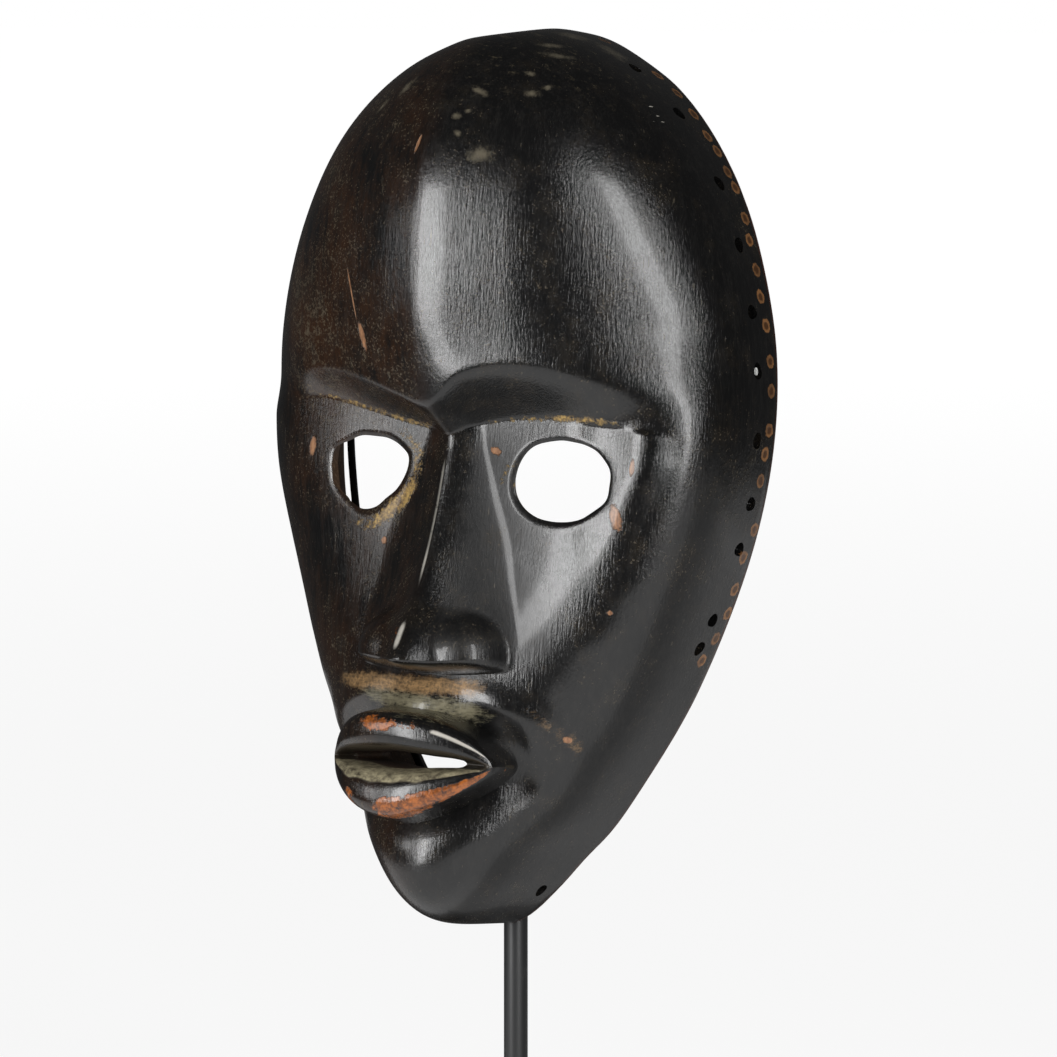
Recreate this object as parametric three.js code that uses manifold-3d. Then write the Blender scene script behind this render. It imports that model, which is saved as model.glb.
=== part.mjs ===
import * as THREE from 'three';
import { mergeVertices } from 'three/addons/utils/BufferGeometryUtils.js';
import Module from 'manifold-3d';

const wasm = await Module();
wasm.setup();

// A carved wooden face mask, held up by a bent wire on a steel rod with a flat foot.
// Millimetres, +Z up, the face looks along -Y, the origin is under the rod on the table.

// Driving dimensions of the mask, in its own frame: u to the side, v up along the
// plane of the back edge, d forward from that plane.
const HALF_WIDTH = 70.3;
const WIDEST_AT = 18;
const HALF_HEIGHT = 119.5;
const HEIGHT_SKEW = -18.5;
const TAPER = 0.28;
const TAPER_SKEW = 0.08;
const CROWN_FULLNESS = 0.35;
const CHIN_NARROWING = 0.1;
const RIM_DENT = { v: -101, tall: 6.5, share: 0.055 };
const LEAN_BACK = THREE.MathUtils.degToRad(6.6);
const WALL_AT_RIM = 5.2;
const CHIN_RIM = { forward: 5.6, from: -94, to: -113 };

// How squarely the front turns into the side wall: at the cheeks, the crown and the chin.
const TURN_SIDE = 4.6;
const TURN_CROWN = 3.2;
const TURN_CHIN = 5.4;

// Profiles along the middle of the face, as height v and depth d.
const FOREHEAD = [[-10, 54.5], [8, 57], [20, 60.5], [35, 64], [55, 67], [75, 68.5], [95, 68.8], [120, 68]];
const FACE = [[-120, 66], [-112, 65], [-104, 61.5], [-97, 57.5], [-90, 53], [-80, 50.5], [-68, 51],
  [-56, 52], [-46, 50.5], [-34, 48], [-20, 46.5], [0, 45.5], [12, 45], [30, 44]];
const FACE_ROUNDNESS = [[-120, 0.009], [-104, 0.005], [-90, 0.0045], [-76, 0.0052], [-56, 0.0044],
  [-30, 0.0026], [0, 0.0006], [14, 0.0002], [30, 0]];
const HOLLOW = [[-120, 52], [-104, 51], [-90, 46.5], [-76, 44], [-60, 42.5], [-30, 40], [8, 39],
  [30, 45], [60, 56], [90, 60], [120, 58]];
const HOLLOW_ROUNDNESS = [[-120, 0.008], [-76, 0.006], [-40, 0.0025], [0, 0.0015], [40, 0.002], [120, 0.002]];

// The brow: its upper edge and the crease below it, as distance from the middle and height.
const BROW_EDGE = [[0, 12.5], [5, 15.5], [12, 20.3], [22, 25], [31, 26.6], [40, 25.4], [50, 21.2],
  [57, 17.5], [64, 17], [80, 17]];
const BROW_CREASE = [[0, 8], [6, 10.2], [14, 11.6], [28, 13], [42, 13.6], [50, 12.8], [57, 4],
  [64, -14], [80, -20]];
const BROW_SCOOP = 1.35;
const BROW_LEAST_HEIGHT = 1.5;
const FOREHEAD_RIDGE = { slope: 0.16, blunt: 1 };
const FOREHEAD_ROUNDNESS = 0.0022;

// The nose: the depth of its ridge and its half width by height, how blunt the ridge is
// above and below, where it ends under the tip and at the root, and its full wings.
const NOSE_RIDGE = [[-54, 69.5], [-49, 68.5], [-44, 66], [-36, 61], [-25, 56.5], [-12, 52.5], [0, 50],
  [8, 48.8], [14, 50]];
const NOSE_HALF_WIDTH = [[-54, 23], [-45, 23], [-35, 22], [-20, 19.5], [-5, 14], [8, 9], [14, 8]];
const NOSE_FLARE = 1.7;
const NOSE_BLUNT = { above: 0.7, below: 5, from: -25, to: -46, share: 0.6 };
const NOSE_UNDERSIDE = { from: -53, to: -50.6, bow: 0.002 };
const NOSE_ROOT = { from: 8, to: 15 };
const NOSE_BLEND = 3.2;
const NOSE_REACH = 40;
const WING = {
  u: 11.5, top: -48.5, d: 62.5, edge: 20.8, tall: 12.5, lower: 4.5, wide: 12,
  round: 0.05, steep: 2.6, fall: 12, power: 2.4,
};

// The lips stand out round a slit, a little to one side of the nose.
const LIPS = {
  u: 0.3, v: -76.7, halfWidth: 25, above: 8.4, below: 11.3, blunt: 3,
  powerAbove: 2.6, powerBelow: 1.8, bowPower: 2.2, points: 32,
};
const SLIT = { u: -2.5, halfWidth: 17, halfHeight: 2, back: 30, front: 80 };

// Rings that build the lips from inside the wall to the parting: their share of the
// outline's width and height, their depth above and below, and how far the corners bow back.
const LIP_RINGS = [
  { wide: 0.86, high: 0.8, above: 46.5, below: 46.5, bow: 3 },
  { wide: 1.08, high: 1.2, above: 50, below: 50, bow: 7.5 },
  { wide: 1, high: 1, above: 61.5, below: 64.5, bow: 9 },
  { wide: 0.98, high: 0.86, above: 64, below: 66.5, bow: 9 },
  { wide: 0.95, high: 0.6, above: 67, below: 67.5, bow: 9 },
  { wide: 0.92, high: 0.36, above: 67.5, below: 67.5, bow: 9 },
  { wide: 0.87, high: 0.14, above: 57, below: 57, bow: 5 },
];

// The pierced eyes, wider inside on the side next to the nose.
const EYE = { u: 29.3, v: -2.4, halfWidth: 12.6, halfHeight: 10, flare: 5, taller: 1 };
const EYE_CUT = { back: 25, inner: 43, front: 70 };
const OVAL_POINTS = 20;

// The holes along the edge: height and depth of each, the same on both sides.
const EDGE_HOLES = [[108, 16], [96.5, 13.5], [78.5, 11.5], [62.5, 11.5], [45, 11.5], [29.6, 11.2],
  [11.5, 10], [-5, 8], [-17, 8], [-36, 9], [-43.5, 10], [-110, 14]];
const EDGE_HOLE_RADIUS = 1.8;
const EDGE_HOLE_LENGTH = 26;
const EDGE_HOLE_SIDES = 8;

// The stand.
const ROD_RADIUS = 3.2;
const WIRE_RADIUS = 1.05;
const FOOT_WIDTH = 124;
const FOOT_DEPTH = 128;
const FOOT_THICKNESS = 10;
const FOOT_CORNER = 3;
const FOOT_CHAMFER = 0.8;
const CHIN_ABOVE_TABLE = 92;
const ROD_IN_FRONT_OF_RIM = 15;
const FIT_GAP = 0.3;
const ROD_SIDES = 24;
const ARC_SEGMENTS = 4;

// The wire's route from under the chin up inside one cheek, as u, d and v, and how far
// inside the edge its straight end in the pin hole has its points.
const WIRE_ARM = [[0, 2.4, -107.5], [9, 4, -104], [18, 7, -94], [29.6, 10, -77], [44, 10, -43],
  [52, 10, -18], [55.6, 10, 0], [57, 10.8, 18], [58, 11.5, 27.5]];
const PIN_HEIGHT = 29.6;
const PIN_DEPTH = 11.5;
const PIN_POINTS = [9.5, 7, 4, 1];
const WIRE_STEPS = 56;

const WOOD = { color: 0x1c1713, roughness: 0.3, metalness: 0 };
const STEEL = { color: 0x1f2021, roughness: 0.42, metalness: 0.6 };

// Mesh fineness of the mask: the middle of the net, up to its flat part, is spread over
// most of the face, and the rest falls closer and closer together down the side wall.
const FLAT_PART = 0.72;
const FLAT_REACH = 0.88;
const WALL_CLOSENESS = 2.6;
const COLUMNS = 40;
const ROWS = 54;
const ROW_LEVELS = [[0, -1], [0.14, -0.8], [0.44, -0.38], [0.5, -0.27], [0.6, -0.06], [0.67, 0.07],
  [0.84, 0.62], [1, 1]];

const clamp = (x, low, high) => Math.min(Math.max(x, low), high);
const smoothStep = (from, to, x) => {
  const t = clamp((x - from) / (to - from), 0, 1);
  return t * t * (3 - 2 * t);
};
const smoothMax = (a, b, width) => 0.5 * (a + b + Math.hypot(a - b, width));
const softEdge = (x, radius) => Math.hypot(x, radius) - radius;
const bump = (u, v, at) => at.height
  * Math.exp(-(((Math.abs(u) - at.u) / at.wide) ** 2) - ((v - at.v) / at.tall) ** 2);

// A smooth curve through a few points.
function curve(x, points) {
  const last = points.length - 1;
  const slope = (k) => (points[k + 1][1] - points[k][1]) / (points[k + 1][0] - points[k][0]);
  const tangent = (k) => {
    if (k === 0) return slope(0);
    if (k === last) return slope(last - 1);
    const before = points[k][0] - points[k - 1][0];
    const after = points[k + 1][0] - points[k][0];
    return (slope(k - 1) * after + slope(k) * before) / (before + after);
  };
  let k = 0;
  while (k < last - 1 && x > points[k + 1][0]) k += 1;
  const run = points[k + 1][0] - points[k][0];
  const t = clamp((x - points[k][0]) / run, 0, 1);
  return (2 * t ** 3 - 3 * t ** 2 + 1) * points[k][1] + (t ** 3 - 2 * t ** 2 + t) * run * tangent(k)
    + (3 * t ** 2 - 2 * t ** 3) * points[k + 1][1] + (t ** 3 - t ** 2) * run * tangent(k + 1);
}

// The outline: from the unit disc (a, b) to the plane of the back edge, and back.
const levelToHeight = (b) => WIDEST_AT + HALF_HEIGHT * b + HEIGHT_SKEW * b * b;
const heightToLevel = (v) => {
  const root = Math.sqrt(Math.max(HALF_HEIGHT ** 2 + 4 * HEIGHT_SKEW * (v - WIDEST_AT), 0));
  return (HALF_HEIGHT - root) / (-2 * HEIGHT_SKEW);
};
const widthAtLevel = (b, side) => {
  const crown = b > 0 ? CROWN_FULLNESS * b ** 4 * (1 - b) : -CHIN_NARROWING * b ** 4;
  const dent = side > 0 ? Math.exp(-(((levelToHeight(b) - RIM_DENT.v) / RIM_DENT.tall) ** 2)) : 0;
  return HALF_WIDTH * (1 - b * b * (TAPER - TAPER_SKEW * b) + crown) * (1 - RIM_DENT.share * dent);
};
const rimDepth = (v) => CHIN_RIM.forward * smoothStep(CHIN_RIM.from, CHIN_RIM.to, v);

// 1 over the middle of the face, falling to 0 at the back edge.
function turn(a, b) {
  const r = Math.min(Math.hypot(a, b), 1);
  const upright = r > 0 ? (b / r) ** 2 : 0;
  const end = b > 0 ? TURN_CROWN : TURN_CHIN;
  const power = TURN_SIDE + (end - TURN_SIDE) * upright;
  return Math.max(1 - r ** power, 0) ** (1 / power);
}

const LIP_TOP = { u: 0, v: -64, wide: 11, tall: 8, height: 6 };
const MOUTH_HOLLOW = { u: 31, v: -78, wide: 7, tall: 6, height: -4.5 };
const CHEEK_FOLD = { u: 30, v: -64, wide: 9, tall: 6, height: 2 };

function nose(u, v, face) {
  const side = Math.abs(u);
  const low = smoothStep(NOSE_BLUNT.from, NOSE_BLUNT.to, v);
  const blunt = NOSE_BLUNT.above + (NOSE_BLUNT.below - NOSE_BLUNT.above) * low;
  const halfWidth = curve(v, NOSE_HALF_WIDTH) - NOSE_BLUNT.share * blunt;
  const across = clamp(1 - softEdge(u, blunt) / halfWidth, 0, 1);
  const ridge = face + Math.max(curve(v, NOSE_RIDGE) - face, 0) * across ** NOSE_FLARE;
  const outward = Math.max(side - WING.u, 0);
  const inward = Math.max(WING.u - side, 0);
  const tall = WING.tall - WING.lower * clamp(outward / WING.wide, 0, 1) ** 2;
  const wing = WING.d - WING.round * (outward ** 2 + inward ** 2) - WING.steep * Math.max(side - WING.edge, 0)
    - WING.fall * (Math.max(v - WING.top, 0) / tall) ** WING.power;
  const body = smoothMax(ridge, wing, NOSE_BLEND);
  const over = smoothStep(NOSE_UNDERSIDE.from, NOSE_UNDERSIDE.to, v + NOSE_UNDERSIDE.bow * u * u);
  return (body - face) * over * (1 - smoothStep(NOSE_ROOT.from, NOSE_ROOT.to, v));
}

// Depth of the front before it turns into the side wall.
function front(u, v) {
  const side = Math.abs(u);
  const ridge = FOREHEAD_RIDGE.slope * softEdge(u, FOREHEAD_RIDGE.blunt);
  const forehead = curve(v, FOREHEAD) - ridge - FOREHEAD_ROUNDNESS * u * u;
  const face = curve(v, FACE) - curve(v, FACE_ROUNDNESS) * u * u;
  const edge = curve(side, BROW_EDGE);
  const crease = curve(side, BROW_CREASE);
  const under = clamp((edge - v) / Math.max(edge - crease, BROW_LEAST_HEIGHT), 0, 1) ** BROW_SCOOP;
  let depth = forehead * (1 - under) + face * under;
  depth += bump(u, v, LIP_TOP) + bump(u, v, MOUTH_HOLLOW) + bump(u, v, CHEEK_FOLD);
  if (side < NOSE_REACH) depth += nose(u, v, face);
  return depth;
}

const outerPoint = (a, b) => {
  const v = levelToHeight(b);
  const u = a * widthAtLevel(b, a);
  const back = rimDepth(v);
  return new THREE.Vector3(u, -(back + (front(u, v) - back) * turn(a, b)), v);
};

const innerPoint = (a, b) => {
  const level = b * (1 - WALL_AT_RIM / HALF_HEIGHT);
  const v = levelToHeight(level);
  const u = a * (widthAtLevel(level, a) - WALL_AT_RIM);
  const back = rimDepth(v);
  const hollow = curve(v, HOLLOW) - curve(v, HOLLOW_ROUNDNESS) * u * u;
  return new THREE.Vector3(u, -(back + (hollow - back) * turn(a, b)), v);
};

// A square net laid over the disc, closer together where the wall is steep.
function discNet(columns, rows) {
  const net = [];
  for (let j = 0; j <= rows; j += 1) {
    for (let i = 0; i <= columns; i += 1) {
      const s = (2 * i) / columns - 1;
      const t = curve(j / rows, ROW_LEVELS);
      const x = s * Math.sqrt(1 - (t * t) / 2);
      const y = t * Math.sqrt(1 - (s * s) / 2);
      const r = Math.hypot(x, y);
      const wall = clamp((r - FLAT_PART) / (1 - FLAT_PART), 0, 1);
      const spread = r < FLAT_PART
        ? (r / FLAT_PART) * FLAT_REACH
        : 1 - (1 - FLAT_REACH) * (1 - wall) ** WALL_CLOSENESS;
      const scale = r > 0 ? spread / r : 0;
      net.push([x * scale, y * scale]);
    }
  }
  return net;
}

function netFaces(columns, rows, first, flip) {
  const faces = [];
  const at = (i, j) => first + j * (columns + 1) + i;
  const add = (p, q, r) => faces.push(...(flip ? [p, r, q] : [p, q, r]));
  for (let j = 0; j < rows; j += 1) {
    for (let i = 0; i < columns; i += 1) {
      const rising = (i < columns / 2) === (j < rows / 2);
      if (rising) {
        add(at(i, j), at(i + 1, j), at(i + 1, j + 1));
        add(at(i, j), at(i + 1, j + 1), at(i, j + 1));
      } else {
        add(at(i, j), at(i + 1, j), at(i, j + 1));
        add(at(i + 1, j), at(i + 1, j + 1), at(i, j + 1));
      }
    }
  }
  return faces;
}

// The net's border, counter-clockwise seen from the front.
function netBorder(columns, rows, first) {
  const at = (i, j) => first + j * (columns + 1) + i;
  const border = [];
  for (let i = 0; i < columns; i += 1) border.push(at(i, 0));
  for (let j = 0; j < rows; j += 1) border.push(at(columns, j));
  for (let i = columns; i > 0; i -= 1) border.push(at(i, rows));
  for (let j = rows; j > 0; j -= 1) border.push(at(0, j));
  return border;
}

// Outer skin, a hollow half as fine, and the flat back edge that joins them.
function shellGeometry() {
  const points = [];
  for (const [a, b] of discNet(COLUMNS, ROWS)) points.push(outerPoint(a, b));
  const firstInner = points.length;
  for (const [a, b] of discNet(COLUMNS / 2, ROWS / 2)) points.push(innerPoint(a, b));
  const faces = netFaces(COLUMNS, ROWS, 0, false);
  faces.push(...netFaces(COLUMNS / 2, ROWS / 2, firstInner, true));
  const outer = netBorder(COLUMNS, ROWS, 0);
  const inner = netBorder(COLUMNS / 2, ROWS / 2, firstInner);
  inner.forEach((here, k) => {
    const next = inner[(k + 1) % inner.length];
    const [p, q, r] = [outer[2 * k], outer[2 * k + 1], outer[(2 * k + 2) % outer.length]];
    faces.push(here, q, p, here, next, q, next, r, q);
  });
  const geometry = new THREE.BufferGeometry().setFromPoints(points);
  geometry.setIndex(faces);
  return geometry;
}

// A closed loft through rings of equally many points.
function loft(rings) {
  const count = rings[0].length;
  const points = rings.flat();
  const faces = [];
  for (let k = 0; k + 1 < rings.length; k += 1) {
    for (let i = 0; i < count; i += 1) {
      const [p, q] = [k * count + i, k * count + (i + 1) % count];
      faces.push(p, q, q + count, p, q + count, p + count);
    }
  }
  const lastRing = (rings.length - 1) * count;
  for (let i = 1; i + 1 < count; i += 1) {
    faces.push(0, i + 1, i);
    faces.push(lastRing, lastRing + i, lastRing + i + 1);
  }
  const geometry = new THREE.BufferGeometry().setFromPoints(points);
  geometry.setIndex(faces);
  return geometry;
}

// The lips: an almond with blunt corners, lofted forward from inside the wall.
function lipBody() {
  const outline = (angle) => {
    const x = Math.cos(angle);
    const [high, power] = Math.sin(angle) > 0 ? [LIPS.above, LIPS.powerAbove] : [LIPS.below, LIPS.powerBelow];
    const rise = high * (1 - Math.abs(x) ** power) + LIPS.blunt;
    return [x, Math.sign(Math.sin(angle)) * Math.sqrt(Math.max(rise * rise - LIPS.blunt ** 2, 0))];
  };
  return loft(LIP_RINGS.map((ring) => Array.from({ length: LIPS.points }, (_, i) => {
    const angle = (2 * Math.PI * (i + 0.5)) / LIPS.points;
    const [x, y] = outline(angle);
    const depth = (ring.above + ring.below + (ring.above - ring.below) * Math.sin(angle)) / 2;
    const bow = ring.bow * Math.abs(x * ring.wide) ** LIPS.bowPower;
    return new THREE.Vector3(LIPS.u + x * ring.wide * LIPS.halfWidth, bow - depth, LIPS.v + y * ring.high);
  })));
}

// An upright oval in the plane of the face, at one depth.
const oval = (u, v, halfWidth, halfHeight, depth) => Array.from({ length: OVAL_POINTS }, (_, i) => {
  const angle = (2 * Math.PI * (i + 0.5)) / OVAL_POINTS;
  return new THREE.Vector3(u + halfWidth * Math.cos(angle), -depth, v + halfHeight * Math.sin(angle));
});

function eyeCutter(side) {
  const wide = EYE.halfWidth + EYE.flare / 2;
  const inward = side * (EYE.u - EYE.flare / 2);
  return loft([
    oval(inward, EYE.v, wide, EYE.halfHeight + EYE.taller, EYE_CUT.back),
    oval(side * EYE.u, EYE.v, EYE.halfWidth, EYE.halfHeight, EYE_CUT.inner),
    oval(side * EYE.u, EYE.v, EYE.halfWidth, EYE.halfHeight, EYE_CUT.front),
  ]);
}

const slitCutter = () => loft([
  oval(SLIT.u, LIPS.v, SLIT.halfWidth, SLIT.halfHeight, SLIT.back),
  oval(SLIT.u, LIPS.v, SLIT.halfWidth, SLIT.halfHeight, SLIT.front),
]);

// The middle and the outward direction of a hole square through the wall at one height.
function edgeHoleAxis(side, v, depth) {
  const outlineAt = (height) => {
    const b = heightToLevel(height);
    return side * Math.sqrt(1 - b * b) * widthAtLevel(b, side);
  };
  const rise = 0.01;
  const run = outlineAt(v + rise) - outlineAt(v);
  const outward = new THREE.Vector3(rise * side, 0, -run * side).normalize();
  return { middle: new THREE.Vector3(outlineAt(v), -depth, v), outward };
}

function edgeHoleCutter(side, v, depth) {
  const { middle, outward } = edgeHoleAxis(side, v, depth);
  const radius = EDGE_HOLE_RADIUS;
  const geometry = new THREE.CylinderGeometry(radius, radius, EDGE_HOLE_LENGTH, EDGE_HOLE_SIDES);
  geometry.applyQuaternion(new THREE.Quaternion().setFromUnitVectors(new THREE.Vector3(0, 1, 0), outward));
  return geometry.translate(middle.x, middle.y, middle.z);
}

function toSolid(geometry) {
  const bare = geometry.clone();
  bare.deleteAttribute('normal');
  bare.deleteAttribute('uv');
  const merged = mergeVertices(bare, 1e-4);
  const vertProperties = new Float32Array(merged.attributes.position.array);
  const triVerts = new Uint32Array(merged.index.array);
  return new wasm.Manifold(new wasm.Mesh({ numProp: 3, vertProperties, triVerts }));
}

function toGeometry(solid) {
  const mesh = solid.getMesh();
  const geometry = new THREE.BufferGeometry();
  geometry.setAttribute('position', new THREE.BufferAttribute(mesh.vertProperties, 3));
  geometry.setIndex(new THREE.BufferAttribute(mesh.triVerts, 1));
  return geometry;
}

function maskMesh() {
  let solid = toSolid(shellGeometry()).add(toSolid(lipBody()));
  const cutters = [eyeCutter(-1), eyeCutter(1), slitCutter()];
  for (const [v, depth] of EDGE_HOLES) {
    for (const side of [-1, 1]) cutters.push(edgeHoleCutter(side, v, depth));
  }
  for (const cutter of cutters) solid = solid.subtract(toSolid(cutter));
  const mesh = new THREE.Mesh(toGeometry(solid), new THREE.MeshStandardMaterial(WOOD));
  mesh.name = 'mask';
  return mesh;
}

// The wire runs up inside both cheeks and its ends bend out through two edge holes.
function wirePath() {
  const pin = edgeHoleAxis(1, PIN_HEIGHT, PIN_DEPTH);
  const arm = WIRE_ARM.map(([u, d, v]) => new THREE.Vector3(u, -d, v));
  for (const inside of PIN_POINTS) arm.push(pin.middle.clone().addScaledVector(pin.outward, -inside));
  const other = arm.slice(1).reverse().map((p) => new THREE.Vector3(-p.x, p.y, p.z));
  return new THREE.CatmullRomCurve3([...other, ...arm], false, 'centripetal');
}

const steel = () => new THREE.MeshStandardMaterial(STEEL);

function cradleMesh() {
  const section = new THREE.Shape().absarc(0, 0, WIRE_RADIUS, 0, 2 * Math.PI);
  const geometry = new THREE.ExtrudeGeometry(section, {
    extrudePath: wirePath(), steps: WIRE_STEPS, curveSegments: ARC_SEGMENTS, bevelEnabled: false,
  });
  const mesh = new THREE.Mesh(geometry, steel());
  mesh.name = 'cradle';
  return mesh;
}

const rimMiddle = new THREE.Vector3(0, ROD_IN_FRONT_OF_RIM, CHIN_ABOVE_TABLE
  - levelToHeight(-1) * Math.cos(LEAN_BACK) - CHIN_RIM.forward * Math.sin(LEAN_BACK));

function rodMesh() {
  const bottom = FOOT_THICKNESS + FIT_GAP;
  const [, d, v] = WIRE_ARM[0];
  const wire = new THREE.Vector3(0, -d, v);
  wire.applyAxisAngle(new THREE.Vector3(1, 0, 0), -LEAN_BACK).add(rimMiddle);
  const top = wire.z - WIRE_RADIUS - FIT_GAP;
  const geometry = new THREE.CylinderGeometry(ROD_RADIUS, ROD_RADIUS, top - bottom, ROD_SIDES);
  geometry.rotateX(Math.PI / 2).translate(0, 0, (top + bottom) / 2);
  const mesh = new THREE.Mesh(geometry, steel());
  mesh.name = 'mount_rod';
  return mesh;
}

function footMesh() {
  const [x, y, r] = [FOOT_WIDTH / 2 - FOOT_CHAMFER, FOOT_DEPTH / 2 - FOOT_CHAMFER, FOOT_CORNER];
  const outline = new THREE.Shape();
  outline.absarc(x - r, y - r, r, 0, Math.PI / 2);
  outline.absarc(-x + r, y - r, r, Math.PI / 2, Math.PI);
  outline.absarc(-x + r, -y + r, r, Math.PI, 1.5 * Math.PI);
  outline.absarc(x - r, -y + r, r, 1.5 * Math.PI, 2 * Math.PI);
  outline.closePath();
  const geometry = new THREE.ExtrudeGeometry(outline, {
    depth: FOOT_THICKNESS - 2 * FOOT_CHAMFER, curveSegments: ARC_SEGMENTS, bevelEnabled: true,
    bevelThickness: FOOT_CHAMFER, bevelSize: FOOT_CHAMFER, bevelSegments: 1,
  });
  geometry.translate(0, 0, FOOT_CHAMFER);
  const mesh = new THREE.Mesh(geometry, steel());
  mesh.name = 'base';
  return mesh;
}

const tilted = new THREE.Group();
tilted.rotation.x = -LEAN_BACK;
tilted.position.copy(rimMiddle);
tilted.add(maskMesh(), cradleMesh());

const part = new THREE.Group();
part.add(tilted, rodMesh(), footMesh());

export default part;
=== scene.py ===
import math
import bpy
import numpy as np
from mathutils import Matrix, Vector


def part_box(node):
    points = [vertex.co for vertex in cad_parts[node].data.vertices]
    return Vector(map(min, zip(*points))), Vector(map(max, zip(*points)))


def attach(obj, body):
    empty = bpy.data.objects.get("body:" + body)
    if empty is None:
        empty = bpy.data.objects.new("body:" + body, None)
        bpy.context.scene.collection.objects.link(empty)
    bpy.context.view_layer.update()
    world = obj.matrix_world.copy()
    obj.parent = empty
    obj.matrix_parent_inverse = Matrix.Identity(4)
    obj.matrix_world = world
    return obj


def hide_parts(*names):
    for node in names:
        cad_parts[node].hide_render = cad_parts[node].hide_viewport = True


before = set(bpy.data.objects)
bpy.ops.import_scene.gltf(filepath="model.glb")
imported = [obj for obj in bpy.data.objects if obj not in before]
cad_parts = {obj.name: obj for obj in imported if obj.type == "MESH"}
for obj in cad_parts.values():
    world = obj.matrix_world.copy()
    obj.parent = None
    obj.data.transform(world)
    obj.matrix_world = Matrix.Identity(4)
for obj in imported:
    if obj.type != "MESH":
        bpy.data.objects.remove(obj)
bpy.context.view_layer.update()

bpy.ops.object.select_all(action="DESELECT")

# The photograph's viewpoint: a long lens a little above the face, well round to its side.
# The mask leans back on its rod, and the middle of its back edge is the place all else is
# measured from.
MM = 0.001
LEAN_BACK = math.radians(6.6)
RIM_MIDDLE = Vector((0, 15, 210.56)) * MM
VIEW_AZIMUTH = math.radians(32.0)
VIEW_ELEVATION = math.radians(5.3)
VIEW_DISTANCE = 1.6
IMAGE_SIDE = 1057
PIXEL = 0.268 * MM
RIM_MIDDLE_IN_IMAGE = (545.5, 475)

view_back = Vector((math.sin(VIEW_AZIMUTH) * math.cos(VIEW_ELEVATION),
                    -math.cos(VIEW_AZIMUTH) * math.cos(VIEW_ELEVATION),
                    math.sin(VIEW_ELEVATION)))
view_right = Vector((math.cos(VIEW_AZIMUTH), math.sin(VIEW_AZIMUTH), 0))
view_up = view_right.cross(-view_back)
view_middle = (RIM_MIDDLE
               + view_right * (IMAGE_SIDE / 2 - RIM_MIDDLE_IN_IMAGE[0]) * PIXEL
               + view_up * (RIM_MIDDLE_IN_IMAGE[1] - IMAGE_SIDE / 2) * PIXEL)
bpy.ops.object.camera_add(location=view_middle + view_back * VIEW_DISTANCE)
camera = bpy.context.object
camera.rotation_euler = (-view_back).to_track_quat("-Z", "Y").to_euler()
camera.data.sensor_width = 36
camera.data.lens = camera.data.sensor_width * VIEW_DISTANCE / (IMAGE_SIDE * PIXEL)
camera.data.clip_start = 0.05
bpy.context.scene.camera = camera


# The mask: one block of hardwood, hollowed from behind and carved with adze and knife, then
# stained black and polished by years of handling. Its shape is worked out in millimetres:
# u to the side, v up along the plane of the back edge, d forward from that plane.
HALF_WIDTH = 70.3
WIDEST_AT = 18
HALF_HEIGHT = 119.5
HEIGHT_SKEW = -18.5
WALL_AT_RIM = 5.2
RIM_ROUNDING = 0.9
RIM_DENT = {"v": -101, "tall": 6.5, "share": 0.055}
RIM_LIFT = {"deep": 5.6, "from": -94, "to": -113}

FOREHEAD = [(-10, 54.5), (8, 57), (20, 60.5), (35, 64), (55, 67), (75, 68.5), (95, 68.8), (120, 68)]
FACE = [(-120, 66), (-112, 65), (-104, 63), (-97, 60.2), (-91, 56), (-84, 51.8), (-76, 50.4), (-68, 51),
        (-56, 52), (-46, 50.5), (-34, 48), (-20, 46.5), (0, 45.5), (12, 45), (30, 44)]
FACE_ROUNDNESS = [(-120, 0.009), (-104, 0.005), (-90, 0.0045), (-76, 0.0052), (-56, 0.0044),
                  (-30, 0.0026), (0, 0.0006), (14, 0.0002), (30, 0)]
RIGHT_ROUNDNESS = [(-120, 0.009), (-104, 0.0068), (-97, 0.0066), (-90, 0.0063), (-80, 0.0057),
                   (-68, 0.0048), (-56, 0.0038), (-42, 0.0015), (-30, 0.0005), (-20, 0.0005),
                   (-8, 0.0005), (14, 0.0003), (30, 0)]
FOREHEAD_SLOPE = 0.16
FOREHEAD_CURVE = 0.0022
RIGHT_FALL = [(0, 0), (1.2, 0.1), (4, 0.5), (8, 1.3), (14, 2.85), (20, 4.5), (26, 6.2), (34, 9.3),
              (45, 15.2), (60, 24), (80, 36)]
EYE_PLANE = {"from": 22, "slope": 0.125, "bulge": 0.0025, "middle": 38, "twist": 0.04,
             "starts": (32, 44), "bottom": (-32, -14)}
EYE_PLANE_END = [(-30, 38), (-20, 44), (-9, 49), (2, 54), (14, 54)]
RIDGE_ASIDE = 3.0
RIDGE_BLUNT = 1.2
RIDGE_BLUNTER_LOW = 5
HOLLOW = [(-120, 52), (-104, 51), (-90, 46.5), (-76, 44), (-60, 42.5), (-30, 40), (8, 39), (30, 45),
          (60, 56), (90, 60), (120, 58)]
HOLLOW_ROUNDNESS = [(-120, 0.008), (-76, 0.006), (-40, 0.0025), (0, 0.0015), (40, 0.002), (120, 0.002)]
HOLLOW_RIGHT = 0.0027
BROW_EDGE = [(-80, 26), (-58, 25), (-50, 24.5), (-42, 25.5), (-32, 25), (-22, 22.5), (-10, 18.5),
             (-4, 16.5), (0, 16.5), (3, 18.5), (5, 20.8), (8, 23.6), (14, 26.4), (22, 28), (30, 28),
             (38, 26.8), (46, 25.4), (53, 24.6), (60, 25), (80, 26)]
BROW_CREASE = [(-80, 11), (-60, 13), (-54, 15), (-45, 16.8), (-37, 16), (-27, 13.9), (-17.5, 11.7),
               (-7, 9.8), (0, 8.5), (4.3, 10.4), (13.5, 12.4), (26, 13.4), (38, 13.6), (49, 13),
               (56, 12), (62, 10.5), (80, 8)]
BROW_LEAST_HEIGHT = 1.5
BROW_END = (50, 62)
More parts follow.
